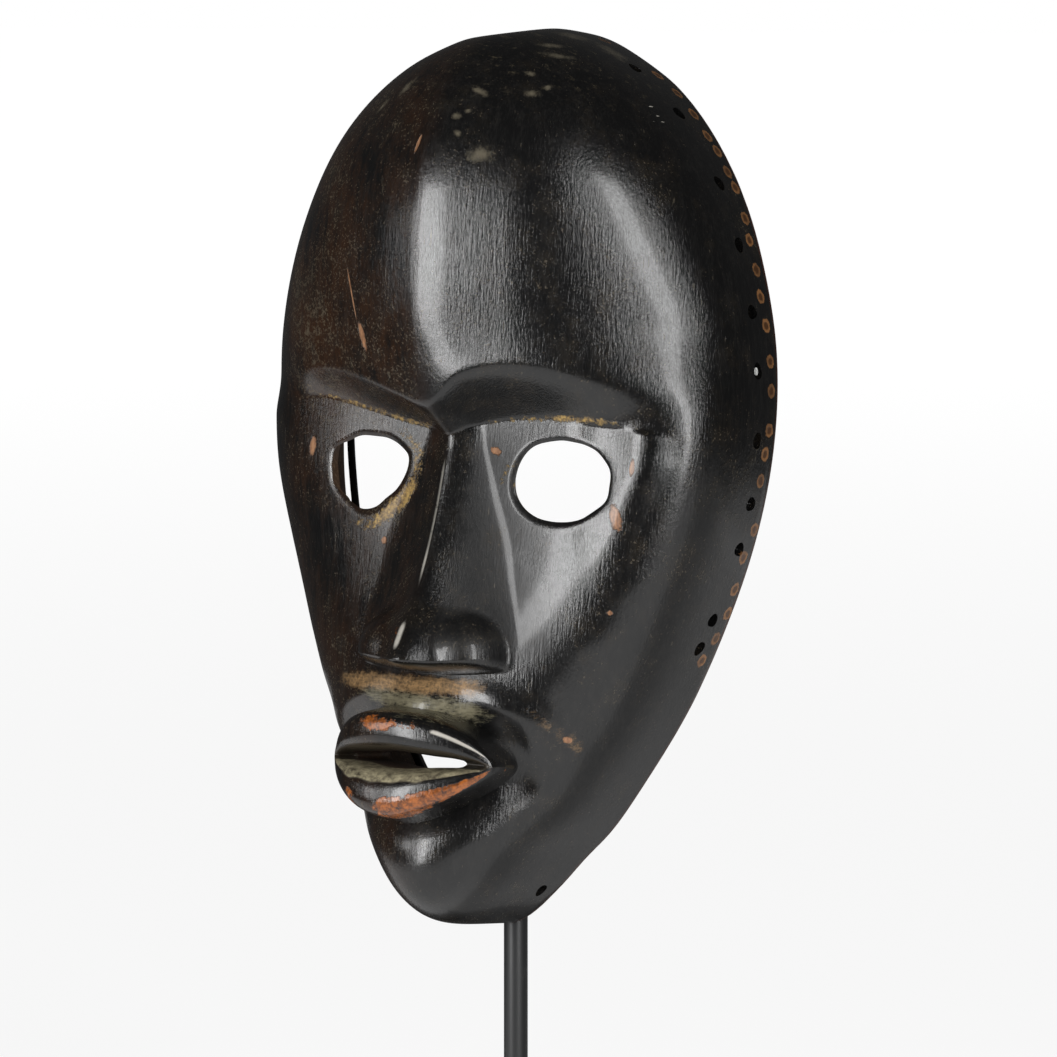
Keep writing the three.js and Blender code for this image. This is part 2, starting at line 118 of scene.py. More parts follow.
BROW_ROUNDING = 0.28
CREASE_ROUNDING = 0.07
NOSE_RIDGE = [(-54, 69.5), (-49, 68.5), (-44, 66), (-36, 61), (-25, 56.5), (-12, 52.5), (0, 50),
              (8, 48.8), (14, 50)]
NOSE_HALF_WIDTH = [(-54, 23), (-45, 23), (-35, 22), (-20, 19.5), (-5, 14), (8, 9), (14, 8)]
NOSE_BLUNT = 1.7
NOSE_BLUNTER_TIP = 3.3
NOSE_ROOT = (8, 15)
NOSE_UNDERSIDE = (-53.9, -50.3)
NOSE_WING = {"from": 8, "reach": 14.5, "top": -49, "tall": 12.5, "lower_outside": 3.5, "d": 62.6,
             "middle": 11.5, "drawn_in": 0.05, "sunk": 5, "blend": 3}
OVER_LIP = {"deep": 6, "half_width": 11, "v": -64, "tall": 8}
MOUTH = {"u": -2, "v": -77, "half_width": 40, "half_height": 21}
MOUTH_FOLD = {"deep": 2.4, "at": 0.92, "soft": 0.2}
MOUTH_TROUGH = {"deep": -1.8, "at": 0.66, "soft": 0.15}
EYE_ROLL = {"deep": 0.75, "wide": 1.9}
HAND_WAVES = {"deep": 0.16, "long": 22}
RIM_WAVES = {"deep": 0.25, "long": 16}


def smooth_step(start, end, x):
    t = np.clip((x - start) / (end - start), 0, 1)
    return t * t * (3 - 2 * t)


def smooth_max(a, b, width):
    return 0.5 * (a + b + np.hypot(a - b, width))


def soft(x, radius):
    return np.hypot(x, radius) - radius


def through(x, knots):
    xs, ys = np.array(knots, float).T
    run = np.diff(xs)
    slope = np.diff(ys) / run
    inner = (slope[:-1] * run[1:] + slope[1:] * run[:-1]) / (run[1:] + run[:-1])
    tangent = np.concatenate([slope[:1], inner, slope[-1:]])
    k = np.clip(np.searchsorted(xs, x) - 1, 0, len(run) - 1)
    t = np.clip((x - xs[k]) / run[k], 0, 1)
    return ((2 * t**3 - 3 * t**2 + 1) * ys[k] + (t**3 - 2 * t**2 + t) * run[k] * tangent[k]
            + (3 * t**2 - 2 * t**3) * ys[k + 1] + (t**3 - t**2) * run[k] * tangent[k + 1])


def bell(x):
    return np.exp(-x * x)


def wobble(seed, size, *coordinates):
    waves = np.random.default_rng(seed).normal(size=(9, len(coordinates) + 1))
    total = 0
    for wave in waves:
        reach = sum(w * c for w, c in zip(wave, coordinates))
        total = total + np.sin(reach * 1.6 / size + wave[-1] * 9)
    return total / 4.5


def level_height(b):
    return WIDEST_AT + HALF_HEIGHT * b + HEIGHT_SKEW * b * b


def height_level(v):
    root = np.sqrt(np.maximum(HALF_HEIGHT**2 + 4 * HEIGHT_SKEW * (v - WIDEST_AT), 0))
    return (HALF_HEIGHT - root) / (-2 * HEIGHT_SKEW)


def level_width(b, side):
    crown = np.where(b > 0, 0.35 * b**4 * (1 - b), -0.1 * b**4)
    dent = bell((level_height(b) - RIM_DENT["v"]) / RIM_DENT["tall"]) * (side > 0)
    return HALF_WIDTH * (1 - b * b * (0.28 - 0.08 * b) + crown) * (1 - RIM_DENT["share"] * dent)


def rim_depth(v):
    return RIM_LIFT["deep"] * smooth_step(RIM_LIFT["from"], RIM_LIFT["to"], v)


def turn(a, b):
    r = np.minimum(np.hypot(a, b), 1)
    upright = (b / np.maximum(r, 1e-6)) ** 2
    power = np.where(b > 0, 4.6 + (3.2 - 4.6) * upright, 4.6 + (5.4 - 4.6) * upright**2)
    return np.maximum(1 - r**power, 0) ** (1 / power)


def nose(u, v, row, face):
    side = np.abs(u)
    blunt = NOSE_BLUNT + NOSE_BLUNTER_TIP * smooth_step(-25, -46, v)
    across = np.clip(1 - soft(u, blunt) / (through(v, NOSE_HALF_WIDTH) - 0.6 * blunt), 0, 1)
    ridge = face + np.maximum(through(v, NOSE_RIDGE) - face, 0) * across**1.7
    out = np.maximum(side - NOSE_WING["from"], 0) / NOSE_WING["reach"]
    tall = NOSE_WING["tall"] - NOSE_WING["lower_outside"] * np.clip(out, 0, 1) ** 2
    up = np.maximum(v - NOSE_WING["top"], 0) / tall
    full = np.maximum(1 - out**3 - up**2.4, 0)
    inward = NOSE_WING["drawn_in"] * np.maximum(NOSE_WING["middle"] - side, 0) ** 2
    sunk = face - NOSE_WING["sunk"]
    wing = sunk + (NOSE_WING["d"] - inward - sunk) * full**0.5
    level = 0.5 * (math.hypot(NOSE_WING["sunk"], NOSE_WING["blend"]) - NOSE_WING["sunk"])
    body = smooth_max(ridge, wing, NOSE_WING["blend"]) - face - level
    over = np.clip((row - NOSE_UNDERSIDE[0]) / (NOSE_UNDERSIDE[1] - NOSE_UNDERSIDE[0]), 0, 1)
    return body * (1 - (1 - over) ** 2.3) * (1 - smooth_step(*NOSE_ROOT, v))


# The pierced eyes, each cut by hand: the radius of its outline by the angle round its middle.
EYES = [
    {"u": -26.9, "v": -2.4, "inward": -2.6, "grow": 1.2,
     "outline": [(-180, 12.1), (-165, 11.8), (-147, 10.4), (-123, 9.5), (-100, 9.7), (-74, 9.2),
                 (-50, 8.6), (-22, 9.8), (-4, 10.9), (10, 12.0), (22, 12.6), (37, 11.7), (61, 10.4),
                 (89, 9.5), (108, 10.0), (136, 11.0), (154, 12.8), (168, 12.5), (180, 12.1)]},
    {"u": 31.9, "v": -2.3, "inward": -3.2, "grow": 1.3,
     "outline": [(-180, 13.4), (-163, 13.3), (-150, 12.8), (-129, 11.7), (-103, 10.6), (-83, 10.4),
                 (-60, 10.9), (-33, 12.0), (-16, 13.4), (-3, 13.5), (14, 13.6), (27, 12.9), (43, 12.0),
                 (66, 10.8), (87, 10.4), (113, 10.8), (135, 12.1), (157, 12.9), (180, 13.4)]},
]


def eye_radius(eye, angle):
    return through(np.degrees(angle), eye["outline"])


def eye_distance(u, v):
    nearest = 99.0
    for eye in EYES:
        across, up = u - eye["u"], v - eye["v"]
        nearest = np.minimum(nearest, np.hypot(across, up) - eye_radius(eye, np.arctan2(up, across)))
    return nearest


def rolled_edge(u, v):
    return EYE_ROLL["deep"] * np.clip(1 - eye_distance(u, v) / EYE_ROLL["wide"], 0, 1.6) ** 2


# The adze left flats round the crown: each is a plane, given by its outward direction and
# its distance from the middle of the rim.
FLAT_EDGE_BLUNT = 0.9
ADZE_FLATS = [
    (-0.3567, -0.3197, 0.8778, 115.3),
    (-0.1077, -0.17, 0.9795, 118.6),
    (0.4766, 0.2017, 0.8557, 106.9),
    (0.6871, 0.347, 0.6384, 91.4),
]


def adzed(u, v, depth):
    for across, forward, up, reach in ADZE_FLATS:
        over = across * u - forward * depth + up * v - reach
        over = 0.5 * (over + np.hypot(over, FLAT_EDGE_BLUNT))
        u, v, depth = u - across * over, v - up * over, depth + forward * over
    return u, v, depth


def around_mouth(u, v):
    return np.hypot((u - MOUTH["u"]) / MOUTH["half_width"], (v - MOUTH["v"]) / MOUTH["half_height"])


def front(u, v, row):
    side = np.abs(u)
    blunt = RIDGE_BLUNT + RIDGE_BLUNTER_LOW * smooth_step(55, 20, v)
    fall = FOREHEAD_SLOPE * soft(u, blunt) + FOREHEAD_CURVE * u * u
    from_ridge = u + RIDGE_ASIDE * smooth_step(14, 30, v)
    right = np.maximum(from_ridge, 0)
    left = np.minimum(from_ridge, 0)
    left_fall = FOREHEAD_SLOPE * soft(left, RIDGE_BLUNT) + FOREHEAD_CURVE * left * left
    high = smooth_step(16, 42, v) * smooth_step(118, 92, v)
    aside = (through(right, RIGHT_FALL) + left_fall - fall) * high * smooth_step(-25, -12, u)
    forehead = through(v, FOREHEAD) - fall - aside
    roundness = np.where(u > 0, through(v, RIGHT_ROUNDNESS), through(v, FACE_ROUNDNESS))
    face = through(v, FACE) - roundness * u * u
    edge = through(u, BROW_EDGE)
    crease = through(u, BROW_CREASE)
    under = np.clip((edge - v) / np.maximum(edge - crease, BROW_LEAST_HEIGHT), 0, 1)
    outer = smooth_step(*BROW_END, side)
    ramp = soft(under, BROW_ROUNDING) / soft(1, BROW_ROUNDING)
    ramp = 1 - soft(1 - ramp, CREASE_ROUNDING) / soft(1, CREASE_ROUNDING)
    under = ramp * (1 - outer) + under * under * (3 - 2 * under) * outer
    depth = forehead * (1 - under) + face * under
    over_lip = OVER_LIP["deep"] * bell(side / OVER_LIP["half_width"])
    depth = depth + over_lip * bell((v - OVER_LIP["v"]) / OVER_LIP["tall"])
    ring = around_mouth(u, v)
    fold = MOUTH_FOLD["deep"] * bell((ring - MOUTH_FOLD["at"]) / MOUTH_FOLD["soft"])
    fold = fold * smooth_step(-92, -72, v) * smooth_step(8, 22, side)
    trough = MOUTH_TROUGH["deep"] * bell((ring - MOUTH_TROUGH["at"]) / MOUTH_TROUGH["soft"])
    trough = trough * smooth_step(18, 26, side) * smooth_step(-94, -80, v)
    depth = depth + fold + trough + nose(u, v, row, face)
    return depth - rolled_edge(u, v)


# The two skins of the mask: a square net of points is laid over a disc, closer at the brow,
# the nose and the steep wall, and the disc over the face, or in the hollow that the adze cut.
# The last of each net rolls over the rim, where the two are joined.
ROW_LEVELS = [(-1, -1), (-0.667, -0.668), (-0.333, -0.452), (-0.133, -0.395), (0.213, -0.117),
              (0.507, 0.081), (0.8, 0.62), (1, 1)]
OUTSIDE_NET = (236, 300)
INSIDE_NET = (104, 132)
FLAT_PART = 0.7
FLAT_REACH = 0.88
ROLL_FROM = 0.955


def disc_net(s, t):
    s = s * (0.72 + 0.28 * s * s)
    t = through(t, ROW_LEVELS)
    x = s * np.sqrt(1 - t * t / 2)
    y = t * np.sqrt(1 - s * s / 2)
    r = np.hypot(x, y)
    wall = np.clip((r - FLAT_PART) / (1 - FLAT_PART), 0, 1)
    near_edge = 1 - (1 - FLAT_REACH) * np.maximum(1 - wall / ROLL_FROM, 0) ** 3.6
    spread = np.where(r < FLAT_PART, r * FLAT_REACH / FLAT_PART, near_edge) / np.maximum(r, 1e-9)
    roll = np.clip((wall - ROLL_FROM) / (1 - ROLL_FROM), 0, 1) * math.pi / 2
    return x * spread, y * spread, roll, level_height(t * FLAT_REACH / FLAT_PART)


def inset(u, v, amount):
    reach = np.maximum(np.hypot(u, v - WIDEST_AT), 1)
    return u * (1 - amount / reach), WIDEST_AT + (v - WIDEST_AT) * (1 - amount / reach)


def eye_plane(u, v, depth):
    end = through(v, EYE_PLANE_END)
    crease = through(u, BROW_CREASE)
    there = smooth_step(*EYE_PLANE["starts"], u) * smooth_step(end + 8, end - 3, u)
    there = there * smooth_step(*EYE_PLANE["bottom"], v)
    slope = EYE_PLANE["slope"] + EYE_PLANE["twist"] * smooth_step(0, -34, v)
    bulge = EYE_PLANE["bulge"] * (u - EYE_PLANE["middle"]) ** 2
    plane = through(v, FACE) - slope * (u - EYE_PLANE["from"]) + bulge - rolled_edge(u, v)
    return depth + (plane - depth) * there * smooth_step(0.5, -1.5, v - crease)


def outside_skin(s, t):
    a, b, roll, row = disc_net(s, t)
    v = level_height(b)
    u = a * level_width(b, a)
    back = rim_depth(v)
    turned = turn(a, b)
    depth = back + RIM_ROUNDING * (1 - np.sin(roll)) + (front(u, v, row) - back - RIM_ROUNDING) * turned
    hand_waves = HAND_WAVES["deep"] * wobble(3, HAND_WAVES["long"], u, v, depth) * turned
    depth = eye_plane(u, v, depth) + hand_waves
    rim_waves = RIM_WAVES["deep"] * wobble(5, RIM_WAVES["long"], u, v)
    u, v = inset(u, v, RIM_ROUNDING * (1 - np.cos(roll)) - rim_waves)
    return adzed(u, v, depth)


ADZE_SCOOP = {"wide": 9, "long": 13, "deep": 0.6, "shift": 0.37}


def inside_skin(s, t):
    a, b, roll, _ = disc_net(s, t)
    lowered = 1 - WALL_AT_RIM / HALF_HEIGHT
    v = level_height(b * lowered)
    u = a * (level_width(b * lowered, a) - WALL_AT_RIM)
    back = rim_depth(v)
    right = np.maximum(u, 0)
    hollow = through(v, HOLLOW) - through(v, HOLLOW_ROUNDNESS) * u * u
    hollow = hollow - HOLLOW_RIGHT * right * right * smooth_step(10, 42, v) * smooth_step(118, 96, v)
    depth = back + RIM_ROUNDING * (1 - np.sin(roll)) + (hollow - back - RIM_ROUNDING) * turn(a, b)
    column = np.floor(u / ADZE_SCOOP["wide"] + 0.5)
    across = (u / ADZE_SCOOP["wide"] + 0.5 - column) * 2 - 1
    along = np.mod(v / ADZE_SCOOP["long"] + ADZE_SCOOP["shift"] * column, 1) * 2 - 1
    depth = depth + ADZE_SCOOP["deep"] * (1 - along**2) * (1 - across**2) * turn(a, b)
    u, v = inset(u, v, -RIM_ROUNDING * (1 - np.cos(roll)) + 0.3 * wobble(7, 14, u, v))
    return u, v, depth


def place_points(piece, u, v, depth):
    piece.data.vertices.foreach_set("co", (np.stack([u, -depth, v], 1) * MM).ravel())


def points_of(piece):
    points = np.empty(len(piece.data.vertices) * 3)
    piece.data.vertices.foreach_get("co", points)
    return points.reshape(-1, 3)


def carved_net(name, skin, squares):
    bpy.ops.mesh.primitive_grid_add(x_subdivisions=squares[0], y_subdivisions=squares[1], size=2)
    net = bpy.context.object
    net.name = name
    s, t, _ = points_of(net).T
    place_points(net, *skin(s, t))
    return net


black_wood = bpy.data.materials.new("black_polished_wood")
raw_wood = bpy.data.materials.new("hollowed_raw_wood")

outside = carved_net("mask_outside", outside_skin, OUTSIDE_NET)
outside.data.materials.append(black_wood)
inside = carved_net("mask_inside", inside_skin, INSIDE_NET)
inside.data.materials.append(raw_wood)
bpy.ops.object.mode_set(mode="EDIT")
bpy.ops.mesh.select_all(action="SELECT")
bpy.ops.mesh.flip_normals()
bpy.ops.object.mode_set(mode="OBJECT")
outside.select_set(True)
bpy.context.view_layer.objects.active = outside
bpy.ops.object.join()
mask = bpy.context.object
mask.name = "carved_mask"
bpy.ops.object.mode_set(mode="EDIT")
bpy.ops.mesh.select_all(action="DESELECT")
bpy.ops.mesh.select_mode(type="EDGE")
bpy.ops.mesh.select_non_manifold()
bpy.ops.mesh.bridge_edge_loops()
bpy.ops.mesh.select_all(action="DESELECT")
bpy.ops.object.mode_set(mode="OBJECT")

# The lips stand proud of the face, each a rolled band with a crest, and between them a
# recess runs in to the slit. A ball is pulled into that shape and grown into the face: its
# rings go from the root in the wall, over the outside of the lips, to the recess.
LIPS = {"u": 0.6, "v": -76.7, "half": 24.3, "above": 9.6, "below": 12.2, "blunt": 3, "skew": 0.17}
LIP_WIDE = [(0, 0.3), (0.1, 0.82), (0.25, 0.96), (0.38, 0.99), (0.5, 1.01), (0.6, 1.01), (0.72, 0.995),
            (0.82, 0.97), (0.88, 0.93), (0.94, 0.88), (1, 0.8)]
LIP_HIGH = [(0, 0.3), (0.1, 0.8), (0.25, 1.14), (0.38, 1.08), (0.5, 1), (0.6, 0.91), (0.72, 0.7),
            (0.82, 0.37), (0.88, 0.24), (0.94, 0.15), (1, 0.1)]
LIP_ABOVE = [(0, 46), (0.1, 46.5), (0.25, 50), (0.38, 57.5), (0.5, 63.8), (0.6, 66.2), (0.72, 67.4),
             (0.82, 66.8), (0.88, 64.5), (0.94, 59.5), (1, 55)]
LIP_BELOW = [(0, 46), (0.1, 46.5), (0.25, 50), (0.38, 58), (0.5, 65), (0.6, 67), (0.72, 67.9), (0.82, 67),
             (0.88, 64.8), (0.94, 59.5), (1, 55)]
LIP_BOW = [(0, 1), (0.1, 3), (0.25, 7.5), (0.5, 9), (0.82, 9), (0.94, 6.5), (1, 5)]
LIP_BOW_POWER = 2.2
UPPER_POWER, LOWER_POWER = 3.0, 1.8

bpy.ops.object.select_all(action="DESELECT")
bpy.ops.mesh.primitive_uv_sphere_add(segments=144, ring_count=44, radius=1)
lips = bpy.context.object
lips.name = "lips"
lips.data.materials.append(black_wood)
x, y, z = points_of(lips).T
ring = 1 - np.arccos(np.clip(-z, -1, 1)) / math.pi
angle = np.arctan2(y, x)
at_pole = np.hypot(x, y) < 1e-4
upper = y > 0
across = np.cos(angle)
power = np.where(upper, UPPER_POWER, LOWER_POWER)
rise = np.where(upper, LIPS["above"], LIPS["below"]) * (1 - np.abs(across) ** power) + LIPS["blunt"]
high = np.sign(y) * np.sqrt(np.maximum(rise**2 - LIPS["blunt"] ** 2, 0))
wide = through(ring, LIP_WIDE) * across * (~at_pole)
high = through(ring, LIP_HIGH) * high * (~at_pole)
share = (1 + np.sin(angle)) / 2
crest = through(ring, LIP_ABOVE) * share + through(ring, LIP_BELOW) * (1 - share)
lip_u = LIPS["u"] + LIPS["half"] * (wide - LIPS["skew"] * (1 - wide**2))
lip_v = LIPS["v"] + high + 0.25 * wobble(11, 9, lip_u, high)
place_points(lips, lip_u, lip_v, crest - through(ring, LIP_BOW) * np.abs(wide) ** LIP_BOW_POWER)


def turn_faces_out():
    bpy.ops.object.mode_set(mode="EDIT")
    bpy.ops.mesh.select_all(action="SELECT")
    bpy.ops.mesh.normals_make_consistent(inside=False)
    bpy.ops.object.mode_set(mode="OBJECT")


def apply_boolean(piece, other, operation):
    bpy.ops.object.select_all(action="DESELECT")
    piece.select_set(True)
    bpy.context.view_layer.objects.active = piece
    step = piece.modifiers.new(operation, "BOOLEAN")
    step.operation = operation
    step.solver = "MANIFOLD"
    step.object = other
    bpy.ops.object.modifier_apply(modifier=step.name)
    bpy.data.objects.remove(other)


turn_faces_out()
apply_boolean(mask, lips, "UNION")

# The eyes are cut right through and widen behind, then the slit between the lips, and the
# row of small holes burnt through the edge, which once held the costume's cords.
SLIT = {"u": -2.5, "half_width": 17, "half_height": 2.1}
EDGE_HOLES = [(108, 16), (96.5, 13.5), (78.5, 11.5), (62.5, 11.5), (45, 11.5), (29.6, 11.2), (11.5, 10),
              (-5, 8), (-17, 8), (-36, 9), (-43.5, 10), (-110, 14)]
EDGE_HOLE_RADIUS = 2.05
EDGE_HOLE_LENGTH = 26
EYE_WIDENS_FROM = 44
EYE_DEPTHS = [66, 50, 44.5, 43, 41.5, 40, 38, 30]
SLIT_DEPTHS = [80, 55, 30]


def cutter(name, sides, depths, shape):
    bpy.ops.object.select_all(action="DESELECT")
    bpy.ops.mesh.primitive_cylinder_add(vertices=sides, radius=1, depth=2)
    tool = bpy.context.object
    tool.name = name
    tool.data.materials.append(raw_wood)
    bpy.ops.object.mode_set(mode="EDIT")
    bpy.ops.mesh.select_all(action="SELECT")
    bpy.ops.mesh.select_mode(type="EDGE")
    bpy.ops.object.mode_set(mode="OBJECT")
    for edge in tool.data.edges:
        ends = [tool.data.vertices[i].co.z for i in edge.vertices]
        edge.select = abs(ends[0] - ends[1]) > 1
    bpy.ops.object.mode_set(mode="EDIT")
    bpy.ops.mesh.subdivide(number_cuts=len(depths) - 2)
    bpy.ops.object.mode_set(mode="OBJECT")
    x, y, z = points_of(tool).T
    ring = np.rint((z + 1) / 2 * (len(depths) - 1)).astype(int)
    u, v, depth = shape(np.arctan2(y, x), ring, np.array(depths, float)[ring])
    place_points(tool, u, v, depth)
    return tool


def eye_shape(eye):
    def shape(angle, ring, depth):
        behind = np.clip((EYE_WIDENS_FROM - depth) / 5, 0, 1)
        jag = behind * (0.35 * np.sin(7 * angle + 3 * ring) + 0.3 * np.sin(13 * angle - 2 * ring))
        reach = eye_radius(eye, angle) * (1 + (eye["grow"] - 1) * behind) + jag
        across = eye["u"] + eye["inward"] * behind + reach * np.cos(angle)
        return across, eye["v"] + reach * np.sin(angle), depth
    return shape


def slit_shape(angle, ring, depth):
    thin = np.sign(np.sin(angle)) * np.abs(np.sin(angle)) ** 0.9
    sway = 0.25 * np.sin(5 * angle)
    return (SLIT["u"] + SLIT["half_width"] * np.cos(angle),
            LIPS["v"] + SLIT["half_height"] * thin + sway, depth)


def edge_hole_middle(side, v):
    b = float(height_level(np.array(float(v))))
    return side * math.sqrt(1 - b * b) * float(level_width(np.array(b), np.array(side)))


def edge_outward(side, v):
    rise = 0.01
    run = edge_hole_middle(side, v + rise) - edge_hole_middle(side, v)
    return Vector((rise * side, 0, -run * side)).normalized()


def edge_hole_tool(side, v, depth):
    bpy.ops.mesh.primitive_cylinder_add(vertices=20, radius=EDGE_HOLE_RADIUS * MM,
                                        depth=EDGE_HOLE_LENGTH * MM)
    tool = bpy.context.object
    tool.data.materials.append(black_wood)
    for vertex in tool.data.vertices:
        around = math.atan2(vertex.co.y, vertex.co.x)
        vertex.co.xy *= 1 + 0.09 * math.sin(2 * around + v) + 0.06 * math.sin(3 * around + 2 * v)
    tool.matrix_world = (Matrix.Translation(Vector((edge_hole_middle(side, v), -depth, v)) * MM)
                         @ edge_outward(side, v).to_track_quat("Z", "Y").to_matrix().to_4x4())
    return tool


tools = [cutter("eye_tool", 90, EYE_DEPTHS, eye_shape(eye)) for eye in EYES]
tools.append(cutter("slit_tool", 60, SLIT_DEPTHS, slit_shape))
tools += [edge_hole_tool(side, v, depth) for v, depth in EDGE_HOLES for side in (-1, 1)]
bpy.ops.object.select_all(action="DESELECT")
for tool in tools:
    tool.select_set(True)
bpy.context.view_layer.objects.active = tools[0]
bpy.ops.object.join()
tool = bpy.context.object
bpy.ops.object.transform_apply(location=True, rotation=True, scale=True)
turn_faces_out()
apply_boolean(mask, tool, "DIFFERENCE")
bpy.ops.object.shade_smooth_by_angle(angle=math.radians(50))


# How the years marked the wood, as a weight at each point of the mesh: crust left in the
# creases, dull dirt beside the nose, and rust-red wood bared on the lips. Beside these, a
# painted highlight: pale down the nose's ridge, on its tip and along the upper lip's worn crest.
def mark(name, weight):
    layer = mask.data.attributes.new(name, "FLOAT", "POINT")
    layer.data.foreach_set("value", np.clip(weight, 0, 1).astype(np.float32))


def between(x, low, high, soft_end):
    rising = smooth_step(low - soft_end, low + soft_end, x)
    return rising * smooth_step(high + soft_end, high - soft_end, x)


u, minus_d, v = points_of(mask).T / MM
d = -minus_d
side = np.abs(u)
on_face = smooth_step(30, 36, d)
crease_line = bell((v - through(u, BROW_CREASE) - 0.4) / 1.5)
left_eye = EYES[0]
from_eye_u, from_eye_v = u - left_eye["u"], v - left_eye["v"]
eye_angle = np.arctan2(from_eye_v, from_eye_u)
from_eye = np.hypot(from_eye_u, from_eye_v) - eye_radius(left_eye, eye_angle)
turn_round = np.degrees(eye_angle)
eye_ring = bell((from_eye - 3.8) / 3.2) * between(turn_round, -116, 58, 12)
eye_ring = eye_ring * (0.55 + 0.45 * bell((turn_round + 38) / 42))
beyond_eye = np.hypot((u - 17) / 7, (v + 2) / 11)
crease_right = between(u, 6, 50, 5) * (0.5 + 0.3 * bell((u - 36) / 13))
crease_left = between(u, -46, -6, 5) * 0.7
crust = np.maximum(eye_ring, crease_line * (crease_right + crease_left))
mark("crust", on_face * np.maximum(crust, 0.5 * bell(beyond_eye)))

under_nose = bell((v + 57.2) / 2.9) * smooth_step(29, 15, side + 0.3 * u)
beside_mouth = 0.5 * bell((around_mouth(u, v) - 1.02) / 0.09) * smooth_step(22, 30, u)
mark("ochre", on_face * np.maximum(under_nose, beside_mouth))
mark("khaki", on_face * 0.9 * bell((v + 62 + 0.1 * u) / 3.8) * smooth_step(28, 12, side + 0.1 * u))

lip_x = (u - LIPS["u"]) / LIPS["half"]
lip_x = np.minimum(np.abs(lip_x + LIPS["skew"] * np.maximum(1 - lip_x**2, 0)), 1)
lip_up = v - LIPS["v"]
upper_rise = LIPS["above"] * (1 - lip_x**3)
lower_rise = LIPS["below"] * (1 - lip_x**LOWER_POWER)
lip_rise = np.where(lip_up > 0, upper_rise, lower_rise) + LIPS["blunt"]
lip_high = np.sqrt(np.maximum(lip_rise**2 - LIPS["blunt"] ** 2, 0.2))
lip_share = np.abs(lip_up) / lip_high
lip_d = d + 9 * lip_x**LIP_BOW_POWER
on_lips = smooth_step(1.12, 1.0, lip_share) * smooth_step(53, 55, lip_d) * (v < -60) * (v > -96)
recess_edge = np.where(lip_up > 0, 0.34, 0.44) + 0.04 * wobble(21, 3, u, v)
recess_weight = np.where(lip_up > -1.2, 0.5, 1)
mark("recess", on_lips * recess_weight * smooth_step(0.05, -0.05, lip_share - recess_edge))
# Painted highlight: a pale line down the nose's ridge, a bar on its tip, and a line along the upper lip's
# worn crest.
painted_ridge_highlight = 0.55 * between(v, -28, 3, 5) + 0.3 * between(v, -46, -24, 4)
painted_ridge_highlight = on_face * bell((u + 0.7) / 0.6) * painted_ridge_highlight
painted_tip_highlight = 0.8 * on_face * bell((u + 1) / 1.1) * between(v, -48, -41, 2)
worn_lip_crest_highlight = on_lips * (lip_up > -0.5) * between(u, 10, 23.5, 1.5) * bell((lip_share - 0.75) / 0.06)
mark("painted_highlight", np.maximum(np.maximum(painted_ridge_highlight, painted_tip_highlight), worn_lip_crest_highlight))
lower = (lip_up < 0) * smooth_step(0.56, 0.74, lip_share) * smooth_step(58, 60.5, lip_d)
rust_lower = lower * (smooth_step(-1, 8, u) * 0.9 + bell((u + 1) / 5) + 0.7 * bell((u + 13) / 4))
rust_upper = (lip_up > 0) * (bell((u + 5.5) / 7) + 0.45 * bell((u - 8) / 8))
rust_upper = rust_upper * bell((lip_share - 0.76) / 0.2)
rust_nose = 0.5 * on_face * bell((u + 3) / 2.5) * bell((v + 44) / 5)
mark("rust", np.maximum(on_lips * np.maximum(rust_lower, rust_upper), rust_nose))
beside_nose = smooth_step(3, 10, u) * smooth_step(36, 12, u + 0.25 * (v + 20))
mark("dull", on_face * beside_nose * between(v, -48, 10, 6))
mark("brown", smooth_step(3, -9, u) * smooth_step(-64, -50, u) * (0.55 + 0.45 * bell((v - 35) / 45)))
mark("from_rim", (d - rim_depth(v)) / 10)
mark("crown", smooth_step(88, 112, v))

mask.data.transform(Matrix.Translation(RIM_MIDDLE) @ Matrix.Rotation(-LEAN_BACK, 4, "X"))


